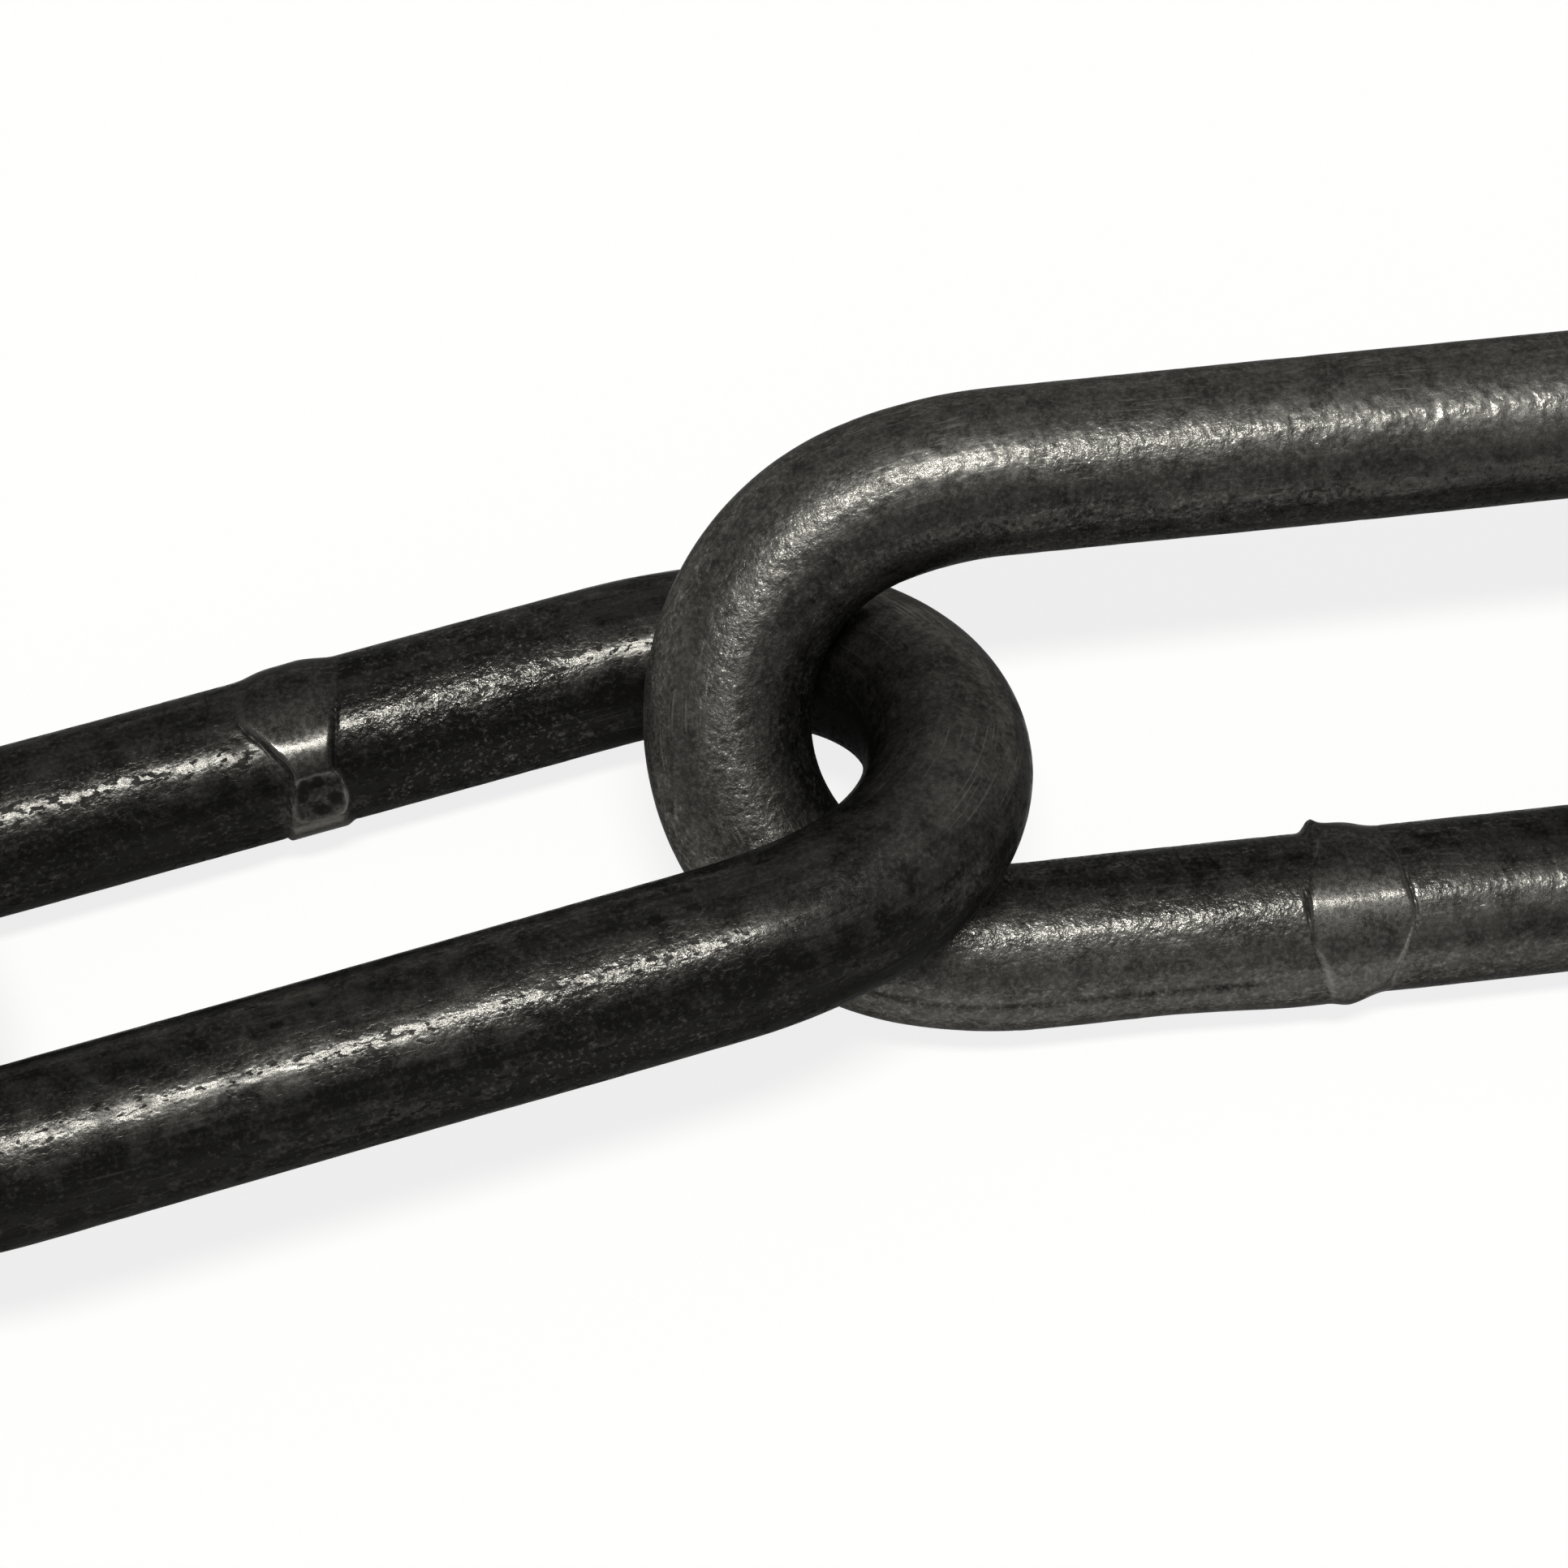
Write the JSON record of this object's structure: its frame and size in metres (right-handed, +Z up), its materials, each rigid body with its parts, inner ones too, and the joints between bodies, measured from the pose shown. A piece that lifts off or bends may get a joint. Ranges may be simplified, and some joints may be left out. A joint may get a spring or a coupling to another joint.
{
  "type": "long link chain",
  "caption": "Long link chain of round steel bar with butt-welded oval links, lying in a loose curve with its links leaning in turn.",
  "frame": {"origin": "on the surface the chain lies on, below the middle of its footprint", "axes": "+X along the longest side of the footprint, parallel to the middle link; +Y from the chain's open side to the back of its curve; +Z up"},
  "size_m": [0.8513, 0.6516, 0.0327],
  "materials": {
    "dark_steel": "self-coloured mill-scale steel, dark grey, half gloss along its ridges, lightly pitted and scratched"
  },
  "bodies": {
    "link_01": {"link_01": "dark_steel"},
    "link_02": {"link_02": "dark_steel"},
    "link_03": {"link_03": "dark_steel"},
    "link_04": {"link_04": "dark_steel"},
    "link_05": {"link_05": "dark_steel"},
    "link_06": {"link_06": "dark_steel"},
    "link_07": {"link_07": "dark_steel"},
    "link_08": {"link_08": "dark_steel"},
    "link_09": {"link_09": "dark_steel"},
    "link_10": {"link_10": "dark_steel"},
    "link_11": {"link_11": "dark_steel"},
    "link_12": {"link_12": "dark_steel"},
    "link_13": {"link_13": "dark_steel"},
    "link_14": {"link_14": "dark_steel"},
    "link_15": {"link_15": "dark_steel"},
    "link_16": {"link_16": "dark_steel"},
    "link_17": {"link_17": "dark_steel"},
    "link_18": {"link_18": "dark_steel"},
    "link_19": {"link_19": "dark_steel"},
    "link_20": {"link_20": "dark_steel"},
    "link_21": {"link_21": "dark_steel"}
  },
  "joints": [
    {"name": "swing_01", "type": "hinge", "parent": "link_02", "child": "link_01", "pos_m": [-0.37761, -0.2188, 0.01545], "axis": [-0.4403, -0.121, 0.8897], "range_deg": [-60, 60]},
    {"name": "swing_02", "type": "hinge", "parent": "link_03", "child": "link_02", "pos_m": [-0.39908, -0.13997, 0.01654], "axis": [0.5144, 0.0372, 0.8568], "range_deg": [-60, 60]},
    {"name": "swing_03", "type": "hinge", "parent": "link_04", "child": "link_03", "pos_m": [-0.40127, -0.05859, 0.01538], "axis": [0.4488, -0.0617, -0.8915], "range_deg": [-60, 60]},
    {"name": "swing_04", "type": "hinge", "parent": "link_05", "child": "link_04", "pos_m": [-0.38974, 0.02225, 0.01659], "axis": [-0.486, 0.1807, -0.8551], "range_deg": [-60, 60]},
    {"name": "swing_05", "type": "hinge", "parent": "link_06", "child": "link_05", "pos_m": [-0.35783, 0.09708, 0.01536], "axis": [-0.3782, 0.2475, 0.892], "range_deg": [-60, 60]},
    {"name": "swing_06", "type": "hinge", "parent": "link_07", "child": "link_06", "pos_m": [-0.31277, 0.16519, 0.01657], "axis": [0.3609, -0.3708, 0.8557], "range_deg": [-60, 60]},
    {"name": "swing_07", "type": "hinge", "parent": "link_08", "child": "link_07", "pos_m": [-0.25192, 0.21926, 0.01541], "axis": [0.2428, -0.3846, -0.8906], "range_deg": [-60, 60]},
    {"name": "swing_08", "type": "hinge", "parent": "link_09", "child": "link_08", "pos_m": [-0.18273, 0.26271, 0.01651], "axis": [-0.1844, 0.4798, -0.8578], "range_deg": [-60, 60]},
    {"name": "swing_09", "type": "hinge", "parent": "link_10", "child": "link_09", "pos_m": [-0.1055, 0.28868, 0.01547], "axis": [-0.0826, 0.4502, 0.8891], "range_deg": [-60, 60]},
    {"name": "swing_10", "type": "hinge", "parent": "link_11", "child": "link_10", "pos_m": [-0.0251, 0.30338, 0.01649], "axis": [0, -0.5129, 0.8584], "range_deg": [-60, 60]},
    {"name": "swing_12", "type": "hinge", "parent": "link_11", "child": "link_12", "pos_m": [0.0373, 0.30338, 0.01649], "axis": [0, -0.5129, 0.8584], "range_deg": [-60, 60]},
    {"name": "swing_13", "type": "hinge", "parent": "link_12", "child": "link_13", "pos_m": [0.11764, 0.2884, 0.01545], "axis": [0.0842, 0.4488, 0.8897], "range_deg": [-60, 60]},
    {"name": "swing_14", "type": "hinge", "parent": "link_13", "child": "link_14", "pos_m": [0.19449, 0.26142, 0.01654], "axis": [0.192, 0.4786, -0.8568], "range_deg": [-60, 60]},
    {"name": "swing_15", "type": "hinge", "parent": "link_14", "child": "link_15", "pos_m": [0.26251, 0.21621, 0.01538], "axis": [-0.2522, -0.3763, -0.8915], "range_deg": [-60, 60]},
    {"name": "swing_16", "type": "hinge", "parent": "link_15", "child": "link_16", "pos_m": [0.32131, 0.15996, 0.01659], "axis": [-0.3755, -0.3576, 0.8551], "range_deg": [-60, 60]},
    {"name": "swing_17", "type": "hinge", "parent": "link_16", "child": "link_17", "pos_m": [0.3635, 0.09005, 0.01536], "axis": [0.3882, 0.2314, 0.892], "range_deg": [-60, 60]},
    {"name": "swing_18", "type": "hinge", "parent": "link_17", "child": "link_18", "pos_m": [0.39253, 0.01403, 0.01657], "axis": [0.4915, 0.1619, -0.8557], "range_deg": [-60, 60]},
    {"name": "swing_19", "type": "hinge", "parent": "link_18", "child": "link_19", "pos_m": [0.40174, -0.06712, 0.01541], "axis": [-0.4521, -0.0496, -0.8906], "range_deg": [-60, 60]},
    {"name": "swing_20", "type": "hinge", "parent": "link_19", "child": "link_20", "pos_m": [0.39825, -0.1485, 0.01651], "axis": [-0.5121, 0.0445, 0.8578], "range_deg": [-60, 60]},
    {"name": "swing_21", "type": "hinge", "parent": "link_20", "child": "link_21", "pos_m": [0.37636, -0.22723, 0.01547], "axis": [0.4409, -0.1231, 0.8891], "range_deg": [-60, 60]}
  ]
}
